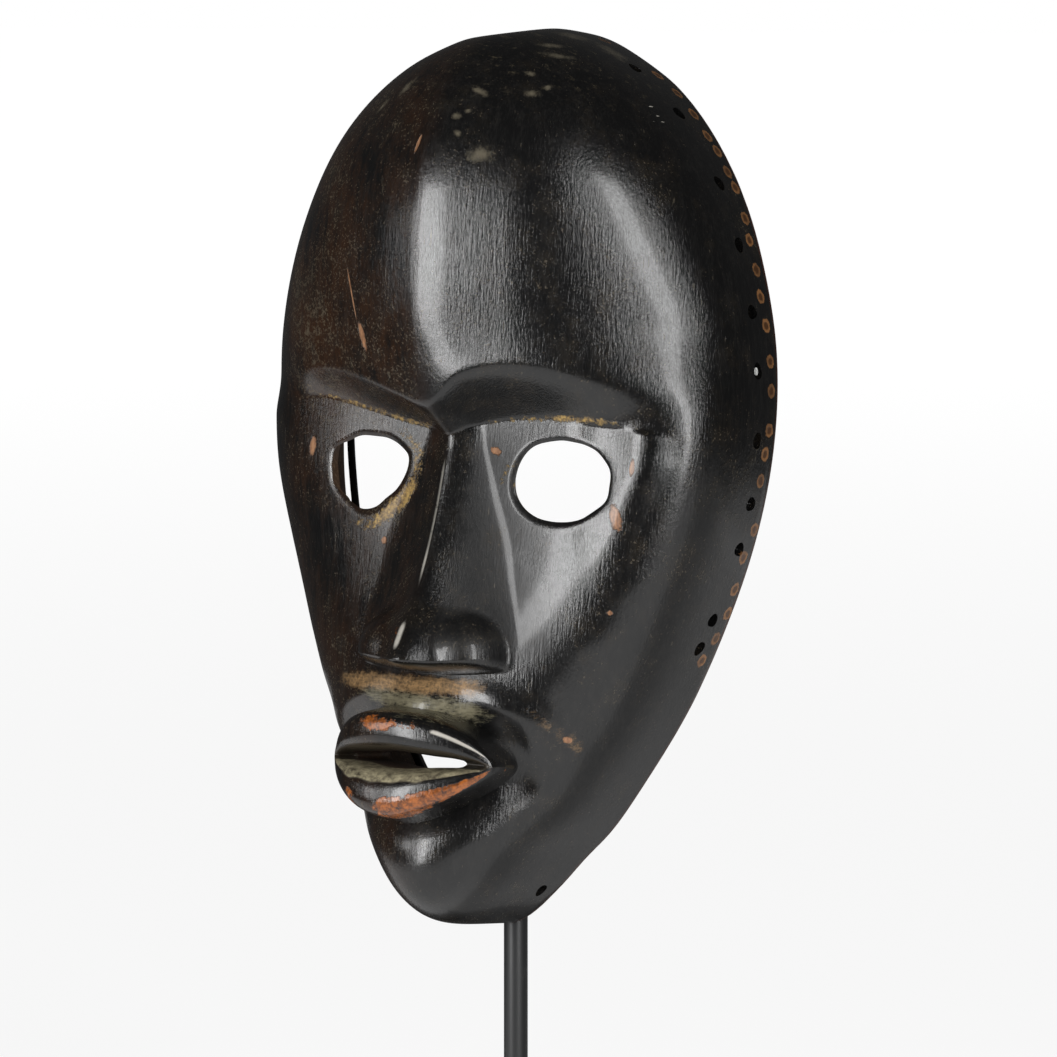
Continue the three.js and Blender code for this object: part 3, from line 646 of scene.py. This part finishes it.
class Value:
    """One value in a material's node tree: sums written on it add the nodes that work them out."""

    def __init__(self, tree, socket=None):
        self.tree = tree
        self.socket = socket

    def node(self, kind, settings=None, values=None, output=0):
        made = self.tree.nodes.new(kind)
        for name, setting in (settings or {}).items():
            setattr(made, name, setting)
        for name, value in (values or {}).items():
            if isinstance(value, Value):
                self.tree.links.new(value.socket, made.inputs[name])
            else:
                made.inputs[name].default_value = value
        return Value(self.tree, made.outputs[output])

    def maths(self, operation, *numbers):
        return self.node("ShaderNodeMath", {"operation": operation}, dict(enumerate(numbers)))

    def __add__(self, other):
        return self.maths("ADD", self, other)

    __radd__ = __add__

    def __sub__(self, other):
        return self.maths("SUBTRACT", self, other)

    def __rsub__(self, other):
        return self.maths("SUBTRACT", other, self)

    def __mul__(self, other):
        return self.maths("MULTIPLY", self, other)

    __rmul__ = __mul__

    def least(self, other):
        return self.maths("MINIMUM", self, other)

    def step(self, low, high):
        return self.node("ShaderNodeMapRange", {"interpolation_type": "SMOOTHSTEP"},
                         {"Value": self, "From Min": low, "From Max": high})

    def mixed(self, first, second):
        return self.node("ShaderNodeMix", {"data_type": "RGBA"}, {0: self, 6: first, 7: second}, 2)

    def noise(self, size, detail=2.0, stretch=(1, 1, 1), rough=0.5):
        reach = self.node("ShaderNodeVectorMath", {"operation": "MULTIPLY"},
                          {0: self, 1: tuple(s / size for s in stretch)})
        return self.node("ShaderNodeTexNoise", {}, {"Vector": reach, "Scale": 1.0, "Detail": detail,
                                                    "Roughness": rough})

    def weight(self, name):
        return self.node("ShaderNodeAttribute", {"attribute_name": name}, {}, 2)

    def spot(self, place, radii, lean):
        """Below 1 inside an oval spot on the face, above 1 outside it."""
        moved = self.node("ShaderNodeMapping", {"vector_type": "TEXTURE"},
                          {"Vector": self, "Location": (place[0], -place[1], place[2]),
                           "Rotation": (0, math.radians(lean), 0), "Scale": radii})
        return self.node("ShaderNodeVectorMath", {"operation": "LENGTH"}, {0: moved}, "Value")

    def nearest_spot(self, spots):
        nearest = None
        for place, radii, lean in spots:
            reach = self.spot(place, radii, lean)
            nearest = reach if nearest is None else nearest.least(reach)
        return nearest


def open_material(material):
    material.use_nodes = True
    tree = material.node_tree
    return Value(tree), tree.nodes["Principled BSDF"]


def feed(shader, name, value):
    value.tree.links.new(value.socket, shader.inputs[name])


def feed_bump(shader, height, distance, strength):
    feed(shader, "Normal", height.node("ShaderNodeBump", {}, {"Height": height, "Distance": distance,
                                                              "Strength": strength}))


def mask_place(start):
    """The mask's own u, -d and v in millimetres, upright again."""
    place = start.node("ShaderNodeTexCoord", {}, {}, "Object")
    return start.node("ShaderNodeMapping", {"vector_type": "TEXTURE"},
                      {"Vector": place, "Location": tuple(RIM_MIDDLE), "Rotation": (-LEAN_BACK, 0, 0),
                       "Scale": (MM, MM, MM)})


BLACK = (0.0042, 0.0041, 0.0042, 1)
GRIME = (0.015, 0.0115, 0.0075, 1)
STREAK_GREY = (0.017, 0.016, 0.0148, 1)
SCORED = (0.1, 0.085, 0.06, 1)
SMUDGE_BROWN = (0.1, 0.082, 0.052, 1)
DARK_BROWN = (0.034, 0.0138, 0.0052, 1)
OCHRE = (0.38, 0.225, 0.095, 1)
OCHRE_DARK = (0.085, 0.055, 0.026, 1)
CRUST = (0.42, 0.27, 0.075, 1)
CRUST_DARK = (0.07, 0.036, 0.012, 1)
KHAKI = (0.24, 0.215, 0.135, 1)
RECESS_DARK = (0.032, 0.024, 0.014, 1)
RECESS_PALE = (0.42, 0.37, 0.235, 1)
RUST = (0.4, 0.115, 0.018, 1)
RUST_DARK = (0.06, 0.019, 0.007, 1)
# Pale for the painted highlights on the nose and the lip's crest, and for the white dots.
PALE_HIGHLIGHT_AND_DOTS = (0.55, 0.52, 0.46, 1)
SMUDGES = [((15.5, 24, 115.4), (5.5, 7, 0.9), 10), ((23, 17, 112), (5.5, 4, 0.8), 28),
           ((16.5, 37, 111.6), (3.4, 4, 0.7), 0), ((20.5, 40, 108.6), (4.4, 5, 0.8), 4),
           ((8, 57, 97.5), (2.6, 4, 0.9), 25), ((18.2, 49.5, 103), (1.5, 4, 0.7), 20),
           ((20.8, 52, 97.6), (2.0, 4, 1.1), 0), ((23.7, 49.5, 99.5), (0.8, 4, 0.8), 0),
           ((3.8, 61.4, 90.7), (1.4, 4, 1.0), 0), ((5.4, 62.7, 86), (1.2, 4, 0.8), 20),
           ((6.6, 60.2, 92.2), (1.0, 4, 0.7), 0), ((-16.4, 54, 98.6), (1.2, 4, 3.2), 40),
           ((-24, 53.7, 93.5), (0.8, 4, 2.4), 40), ((12.7, 62.6, 81), (3.5, 6, 2.4), 0)]
SMUDGE_PALE = (0.15, 0.13, 0.092, 1)
DOT_RADII = (0.35, 1.2, 0.3)
WHITE_DOTS = [(41.2, 25.7, 97.1), (42.2, 21.3, 97), (43.3, 25.5, 94.7), (44, 28.7, 93),
              (44.6, 24.9, 93.2)]
BARE_WOOD = (0.36, 0.18, 0.088, 1)
BARE_DARK = (0.16, 0.07, 0.03, 1)
SPECK = (0.12, 0.095, 0.062, 1)
RIM_BROWN = (0.05, 0.015, 0.007, 1)
PEG_BROWN = (0.27, 0.125, 0.045, 1)
PEG_CORE = (0.05, 0.02, 0.006, 1)
PEG_MARKS = [(115.8, 9.2), (107, 6.5), (102.5, 5.2), (97, 5.2), (91.3, 5.2), (87.5, 4.2), (82, 4.2),
             (78, 3.6), (70, 4.2), (64.3, 5.2), (56.5, 5.2), (49.4, 5.8), (41.9, 5.2), (32.6, 4.6),
             (24.8, 4.2), (14.6, 4.2), (8.3, 5.2), (1.2, 5.2), (-11.6, 2.9), (-19, 4.7), (-27.6, 3.6),
             (-34, 2.6), (-40.7, 3.9), (-46.6, 6.2)]
PEG_RADIUS = 1.9
BARE_SPOTS = [((-21.8, 59, 32.6), (1.0, 9, 4.2), -18), ((48.2, 40.5, -10.8), (1.7, 9, 3.8), -14),
              ((52, 41, 2.3), (0.8, 9, 2.4), 0), ((-5.4, 62, 83), (0.6, 9, 2.8), 14),
              ((35.7, 38, -69), (1.0, 9, 1.0), 0), ((47.4, 37, -35.3), (0.9, 9, 0.9), 0),
              ((12.4, 45, 4.8), (1.8, 9, 1.1), 20), ((-46.8, 43, 4), (1.3, 9, 2.8), 10),
              ((-26, 59.5, 44), (0.3, 9, 8), -16), ((-20.5, 45.6, -20.1), (0.9, 9, 1.1), 0)]

start, shader = open_material(black_wood)
place = mask_place(start)
cloud = place.noise(26, 3)
patch = place.noise(7, 5, rough=0.6)
ragged = place.noise(2.6, 6, rough=0.72)
grit = place.noise(0.75, 3, rough=0.65)
fibre = place.noise(0.5, 3, (1, 1, 0.1), 0.6)
streak = place.noise(2.2, 4, (1, 1, 0.12), 0.65)
scratch = place.noise(0.8, 2, (1, 1, 0.05), 0.4)

brown_zone = start.weight("brown")
brown = brown_zone * (cloud * 0.8 + streak * 0.7 + ragged * 0.3 + grit * 0.3 - 0.6).step(0.22, 0.66)
colour = brown.mixed(BLACK, DARK_BROWN)
colour = ((patch + ragged * 0.6 + cloud * 0.4).step(0.95, 1.3) * 0.7).mixed(colour, GRIME)
streaky = (streak * 0.6 + fibre * 0.6 + patch * 0.2).step(0.62, 0.95) * 0.6
colour = streaky.mixed(colour, STREAK_GREY)
smudge = place.noise(2.2, 5, (0.5, 1, 1.4), 0.65) + 0.2 * grit
smudge = start.weight("crown") * smudge.step(0.66, 0.84) * 0.6
colour = smudge.mixed(colour, SMUDGE_BROWN)
speck = (grit + 0.3 * patch + 0.25 * cloud + 0.08 * brown_zone).step(0.91, 1.02) * 0.45
colour = speck.mixed(colour, SPECK)
flaked = (ragged + 0.4 * cloud + 0.07 * brown_zone).step(0.9, 0.96) * 0.6
colour = flaked.mixed(colour, SPECK)
scored = scratch.step(0.7, 0.75) * patch.step(0.42, 0.6) * 0.45
colour = scored.mixed(colour, SCORED)

hair = place.noise(1.1, 5, (0.2, 1, 1.6), 0.7)
khaki = start.weight("khaki")
khaki = (khaki * 0.7 + hair * 1.2 + ragged * 0.5 - 0.9).step(0.2, 0.75) * khaki.step(0.03, 0.4)
colour = (khaki * 0.8).mixed(colour, KHAKI)
ochre = start.weight("ochre")
ochre_worn = (ochre * 0.75 + patch * 0.3 + ragged * 0.7 + hair * 0.5 - 0.85).step(0.16, 0.7)
ochre = ochre_worn * ochre.step(0.03, 0.4)
colour = (ochre * 0.9).mixed(colour, (grit * 0.8 + hair * 0.5).step(0.4, 0.85).mixed(OCHRE_DARK, OCHRE))
crust = (start.weight("crust") * 0.9 + ragged * 1.1 + grit * 0.4 - 1.0).step(0.22, 0.55)
crust = crust * start.weight("crust").step(0.03, 0.35)
colour = (crust * 0.92).mixed(colour, (ragged + grit * 0.6).step(0.62, 1.0).mixed(CRUST_DARK, CRUST))
rust = (start.weight("rust") * 0.8 + ragged * 1.3 + patch * 0.3 - 1.02).step(0.22, 0.4)
rust = rust * start.weight("rust").step(0.03, 0.25)
colour = (rust * 0.95).mixed(colour, (ragged + grit * 0.5).step(0.55, 0.95).mixed(RUST_DARK, RUST))
recess = start.weight("recess").step(0.3, 0.6)
recess_tone = (patch * 0.5 + ragged * 0.7 + grit * 0.3).step(0.55, 0.95)
recess_tone = recess_tone * start.weight("recess").step(0.55, 0.85)
colour = recess.mixed(colour, recess_tone.mixed(RECESS_DARK, RECESS_PALE))
# The painted highlight: pale on the nose's ridge and tip and on the upper lip's worn crest.
painted_highlight = start.weight("painted_highlight").step(0.25, 0.75) * (ragged + grit * 0.4).step(0.45, 0.65)
colour = (painted_highlight * 0.9).mixed(colour, PALE_HIGHLIGHT_AND_DOTS)

smudged = place.nearest_spot(SMUDGES)
smudged = 1 - (smudged + ragged * 2.2 + grit * 0.9 + patch * 0.8).step(2.0, 3.2)
colour = (smudged * 0.75).mixed(colour, SMUDGE_PALE)
dots = place.nearest_spot([(dot, DOT_RADII, 0) for dot in WHITE_DOTS])
colour = (1 - dots.step(0.7, 1.2)).mixed(colour, PALE_HIGHLIGHT_AND_DOTS)

bare = place.nearest_spot(BARE_SPOTS)
bare = 1 - (bare + grit * 0.9 + ragged * 0.8 + fibre * 0.3).step(1.65, 2.0)
colour = bare.mixed(colour, (fibre + grit * 0.4).step(0.45, 0.9).mixed(BARE_DARK, BARE_WOOD))

rim = 1 - (start.weight("from_rim") + grit * 0.06 + ragged * 0.14).step(0.2, 0.3)
colour = (rim * 0.9).mixed(colour, RIM_BROWN)
across, forward, upward = (place.node("ShaderNodeSeparateXYZ", {}, {"Vector": place}, axis)
                           for axis in "XYZ")
either_side = place.node("ShaderNodeCombineXYZ", {},
                         {"X": across.maths("ABSOLUTE", across), "Y": forward * -1, "Z": upward})
peg = None
for peg_v, peg_d in PEG_MARKS:
    middle = (edge_hole_middle(1, peg_v), peg_d, peg_v)
    reach = place.node("ShaderNodeVectorMath", {"operation": "DISTANCE"},
                       {0: either_side, 1: middle}, "Value")
    peg = reach if peg is None else peg.least(reach)
peg = peg + grit * 0.9 + ragged * 1.6 - 1.25
peg_disc = 1 - peg.step(PEG_RADIUS - 0.2, PEG_RADIUS + 0.15)
peg_core = 1 - peg.step(0.85, 1.3)
colour = (peg_disc * (0.5 + 0.45 * patch.step(0.35, 0.6))).mixed(colour, PEG_BROWN)
colour = (peg_core * 0.9).mixed(colour, PEG_CORE)
feed(shader, "Base Color", colour)

matt = (ochre * 0.3 + khaki * 0.2 + crust * 0.3 + recess * 0.3 + rim * 0.2 + bare * 0.25 + peg_disc * 0.15
        + smudge * 0.2 + start.weight("dull") * (0.1 + patch * 0.2 + ragged * 0.25))
gloss = 0.1 + patch * 0.13 + fibre * 0.09 + speck * 0.3 + flaked * 0.25
feed(shader, "Roughness", (gloss + matt).least(0.8))
height = (fibre * 0.7 + grit * 0.4 + patch * 0.6 + ragged * 0.35 - rust * 0.5 - bare * 1.2 + crust * grit
          - scored * 0.4 - peg_core * 0.6)
feed_bump(shader, height, 0.0002, 0.7)
shader.inputs["Coat Weight"].default_value = 0.25
shader.inputs["Coat Roughness"].default_value = 0.12

RAW_DARK = (0.022, 0.011, 0.006, 1)
RAW_BROWN = (0.085, 0.045, 0.022, 1)
RAW_PALE = (0.16, 0.1, 0.055, 1)

start, shader = open_material(raw_wood)
place = mask_place(start)
cloud = place.noise(18, 4)
fibre = place.noise(1.1, 4, (1, 1, 0.08), 0.65)
grit = place.noise(0.7, 3, rough=0.6)
colour = (cloud + fibre * 0.5).step(0.45, 1.0).mixed(RAW_DARK, RAW_BROWN)
colour = (grit + cloud * 0.3).step(0.72, 0.85).mixed(colour, RAW_PALE)
feed(shader, "Base Color", colour)
feed(shader, "Roughness", (0.55 + fibre * 0.3).least(0.9))
feed_bump(shader, fibre + grit * 0.5, 0.0003, 0.7)

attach(mask, "root")
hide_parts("mask")


# The cradle: one steel wire bent up inside both cheeks, its ends turned out through two
# holes of the edge and cut off flush, and its middle brazed on the rod under the chin.
WIRE_RADIUS = 1.05
PIN_HEIGHT, PIN_DEPTH = 29.6, 11.5
WIRE_ARM = [(0, 2.4, -107.5), (9, 4, -104), (18, 7, -94), (29.6, 10, -77), (44, 10, -43), (52, 10, -18),
            (55.6, 10, 0), (57, 11.2, 18), (58, 11.5, 27.5)]
PIN_STOPS = [9.5, 7, 4, 0.3]
WIRE_STEPS = 360
PIN_BRIGHT = (0.85, 0.86, 0.83, 1)
PIN_GREY = (0.3, 0.3, 0.29, 1)
STEEL_BLACK = (0.012, 0.0125, 0.013, 1)
STEEL_RUBBED = (0.05, 0.048, 0.045, 1)

pin_middle = Vector((edge_hole_middle(1, PIN_HEIGHT), -PIN_DEPTH, PIN_HEIGHT))
pin_out = edge_outward(1, PIN_HEIGHT)
arm = [Vector((u, -d, v)) for u, d, v in WIRE_ARM] + [pin_middle - pin_out * stop for stop in PIN_STOPS]
bends = [Vector((-p.x, p.y, p.z)) for p in reversed(arm[1:])] + arm
lengths = np.concatenate([[0], np.cumsum([math.sqrt((b - a).length) for a, b in zip(bends, bends[1:])])])
stops = np.linspace(0, lengths[-1], WIRE_STEPS)
route = np.stack([through(stops, list(zip(lengths, [p[axis] for p in bends]))) for axis in range(3)], 1)

bpy.ops.object.select_all(action="DESELECT")
bpy.ops.curve.primitive_nurbs_path_add()
wire = bpy.context.object
wire.name = "wire_cradle"
wire.data.splines.clear()
spline = wire.data.splines.new("POLY")
spline.points.add(len(route) - 1)
for point, spot in zip(spline.points, route):
    point.co = (*(Vector(spot) * MM), 1)
wire.data.bevel_depth = WIRE_RADIUS * MM
wire.data.bevel_resolution = 6
wire.data.use_fill_caps = True
wire.data.dimensions = "3D"
bpy.ops.object.convert(target="MESH")
wire = bpy.context.object
bpy.ops.object.mode_set(mode="EDIT")
bpy.ops.mesh.select_all(action="SELECT")
bpy.ops.mesh.remove_doubles(threshold=0.00001)
bpy.ops.object.mode_set(mode="OBJECT")
turn_faces_out()
bpy.ops.object.shade_smooth_by_angle(angle=math.radians(50))
wire.data.transform(Matrix.Translation(RIM_MIDDLE) @ Matrix.Rotation(-LEAN_BACK, 4, "X"))


def painted_steel(name, wear):
    material = bpy.data.materials.new(name)
    start, shader = open_material(material)
    place = start.node("ShaderNodeTexCoord", {}, {}, "Object")
    orange_peel = place.noise(0.0012, 2)
    rubbed = place.noise(0.009, 4)
    fine = place.noise(0.0004, 2)
    bare = (rubbed + fine * 0.35).step(0.86 - wear, 0.98 - wear)
    feed(shader, "Base Color", (bare * 0.5).mixed(STEEL_BLACK, STEEL_RUBBED))
    feed(shader, "Roughness", 0.36 + rubbed * 0.14 - bare * 0.08)
    feed_bump(shader, orange_peel + fine * 0.2, 0.00004, 0.5)
    return material


black_steel = painted_steel("satin_black_steel", 0.0)
wire.data.materials.clear()
wire.data.materials.append(black_steel)
cut_steel = bpy.data.materials.new("bright_cut_steel")
start, shader = open_material(cut_steel)
place = start.node("ShaderNodeTexCoord", {}, {}, "Object")
feed(shader, "Roughness", 0.35 + place.noise(0.0003, 2) * 0.3)
feed(shader, "Base Color", place.noise(0.0004, 2).step(0.42, 0.6).mixed(PIN_BRIGHT, PIN_GREY))
shader.inputs["Metallic"].default_value = 0.15
wire.data.materials.append(cut_steel)
for face in wire.data.polygons:
    if len(face.vertices) == 3:
        face.material_index = 1
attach(wire, "root")
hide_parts("cradle")

# The rod: plain round steel bar, painted satin black, with the wire brazed across its top
# end. Both ends are eased, and the lower one is screwed to the foot from below.
ROD_RADIUS = 3.2 * MM
ROD_EDGE = 0.45 * MM
ROD_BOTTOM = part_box("base")[1][2]
ROD_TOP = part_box("mount_rod")[1][2]

bpy.ops.object.select_all(action="DESELECT")
bpy.ops.mesh.primitive_cylinder_add(vertices=64, radius=ROD_RADIUS, depth=ROD_TOP - ROD_BOTTOM,
                                    location=(0, 0, (ROD_TOP + ROD_BOTTOM) / 2))
rod = bpy.context.object
rod.name = "upright_rod"
bpy.ops.object.transform_apply(location=True)
bevel = rod.modifiers.new("ends", "BEVEL")
bevel.width = ROD_EDGE
bevel.segments = 3
bevel.limit_method = "ANGLE"
bpy.ops.object.modifier_apply(modifier=bevel.name)
bpy.ops.object.shade_smooth_by_angle(angle=math.radians(50))
rod.data.materials.append(black_steel)
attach(rod, "root")
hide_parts("mount_rod")

# The foot: a flat plate of steel with rounded corners and eased edges, painted like the rod
# and heavy enough to carry the mask. The rod stands at its middle.
base_low, base_high = [Vector(corner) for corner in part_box("base")]
FOOT_CORNER = 3 * MM
FOOT_EDGE = 0.8 * MM

bpy.ops.object.select_all(action="DESELECT")
bpy.ops.mesh.primitive_cube_add(size=1, location=(base_low + base_high) / 2)
foot = bpy.context.object
foot.name = "foot_plate"
foot.dimensions = base_high - base_low
bpy.ops.object.transform_apply(location=True, rotation=True, scale=True)
bpy.ops.object.mode_set(mode="EDIT")
bpy.ops.mesh.select_mode(type="EDGE")
bpy.ops.mesh.select_all(action="DESELECT")
bpy.ops.object.mode_set(mode="OBJECT")
for edge in foot.data.edges:
    ends = [foot.data.vertices[i].co for i in edge.vertices]
    edge.select = abs(ends[0].z - ends[1].z) > FOOT_CORNER
bpy.ops.object.mode_set(mode="EDIT")
bpy.ops.mesh.bevel(offset=FOOT_CORNER, segments=8, affect="EDGES")
bpy.ops.object.mode_set(mode="OBJECT")
bevel = foot.modifiers.new("edges", "BEVEL")
bevel.width = FOOT_EDGE
bevel.segments = 4
bevel.limit_method = "ANGLE"
bevel.angle_limit = math.radians(60)
bpy.ops.object.modifier_apply(modifier=bevel.name)
bpy.ops.object.shade_smooth_by_angle(angle=math.radians(40))
foot.data.materials.append(painted_steel("satin_black_foot", 0.03))
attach(foot, "root")
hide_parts("base")


# A white studio floor and soft lights: a broad one and a small one before the face and a
# tall one far round to its right, as the highlights in the photograph show.
FLOOR_NEAR = (0.9, 0.9, 0.9, 1)
FLOOR_FAR = (1, 1, 1, 1)
FLOOR_GREY = (0.12, 0.12, 0.12, 1)

bpy.ops.object.select_all(action="DESELECT")
bpy.ops.mesh.primitive_plane_add(size=60)
floor = bpy.context.object
floor.name = "studio_floor"
paper = bpy.data.materials.new("white_paper")
start, shader = open_material(paper)
place = start.node("ShaderNodeTexCoord", {}, {}, "Object")
away = place.node("ShaderNodeVectorMath", {"operation": "LENGTH"}, {0: place}, "Value")
feed(shader, "Emission Color", away.step(0.3, 4).mixed(FLOOR_NEAR, FLOOR_FAR))
shader.inputs["Emission Strength"].default_value = 1.0
shader.inputs["Base Color"].default_value = FLOOR_GREY
shader.inputs["Roughness"].default_value = 0.9
shader.inputs["Specular IOR Level"].default_value = 0.0
floor.data.materials.append(paper)
floor.visible_diffuse = False
floor.visible_glossy = False

LIGHTS = [
    {"azimuth": -14, "elevation": 6, "away": 1.7, "wide": 0.36, "high": 1.0, "watts": 20},
    {"azimuth": -38, "elevation": 7, "away": 1.7, "wide": 0.3, "high": 0.4, "watts": 2.4},
    {"azimuth": 61.5, "elevation": 15, "away": 1.8, "wide": 0.3, "high": 1.3, "watts": 19},
]
for light in LIGHTS:
    azimuth, elevation = math.radians(light["azimuth"]), math.radians(light["elevation"])
    toward = Vector((math.sin(azimuth) * math.cos(elevation), -math.cos(azimuth) * math.cos(elevation),
                     math.sin(elevation)))
    bpy.ops.object.light_add(type="AREA", location=RIM_MIDDLE + toward * light["away"])
    lamp = bpy.context.object
    lamp.rotation_euler = (-toward).to_track_quat("-Z", "Y").to_euler()
    lamp.data.shape = "RECTANGLE"
    lamp.data.size = light["wide"]
    lamp.data.size_y = light["high"]
    lamp.data.energy = light["watts"]

# White paper on the table throws light up into the brow, the lips, the cheek's side and,
# more faintly, into the hollow.
TABLE_LIGHTS = [{"place": (0.4, -0.25, 0.012), "size": (1.6, 0.5), "watts": 2.3},
                {"place": (0.6, 0.25, 0.012), "size": (1.2, 0.5), "watts": 0.6},
                {"place": (-0.1, 0.75, 0.012), "size": (1.2, 0.7), "watts": 0.9}]
for light in TABLE_LIGHTS:
    bpy.ops.object.light_add(type="AREA", location=light["place"], rotation=(math.pi, 0, 0))
    lamp = bpy.context.object
    lamp.data.shape = "RECTANGLE"
    lamp.data.size, lamp.data.size_y = light["size"]
    lamp.data.energy = light["watts"]
    lamp.visible_camera = False

# The room round it looks white, and lights the object only faintly.
ROOM_LIGHT = 0.045

world = bpy.data.worlds.new("studio")
bpy.context.scene.world = world
world.use_nodes = True
sky = world.node_tree.nodes["Background"]
path = world.node_tree.nodes.new("ShaderNodeLightPath")
white = world.node_tree.nodes.new("ShaderNodeMapRange")
white.inputs["To Min"].default_value = ROOM_LIGHT
white.inputs["To Max"].default_value = 1.0
world.node_tree.links.new(path.outputs["Is Camera Ray"], white.inputs["Value"])
world.node_tree.links.new(white.outputs["Result"], sky.inputs["Strength"])
sky.inputs["Color"].default_value = (1, 1, 1, 1)
bpy.context.scene.view_settings.view_transform = "Standard"
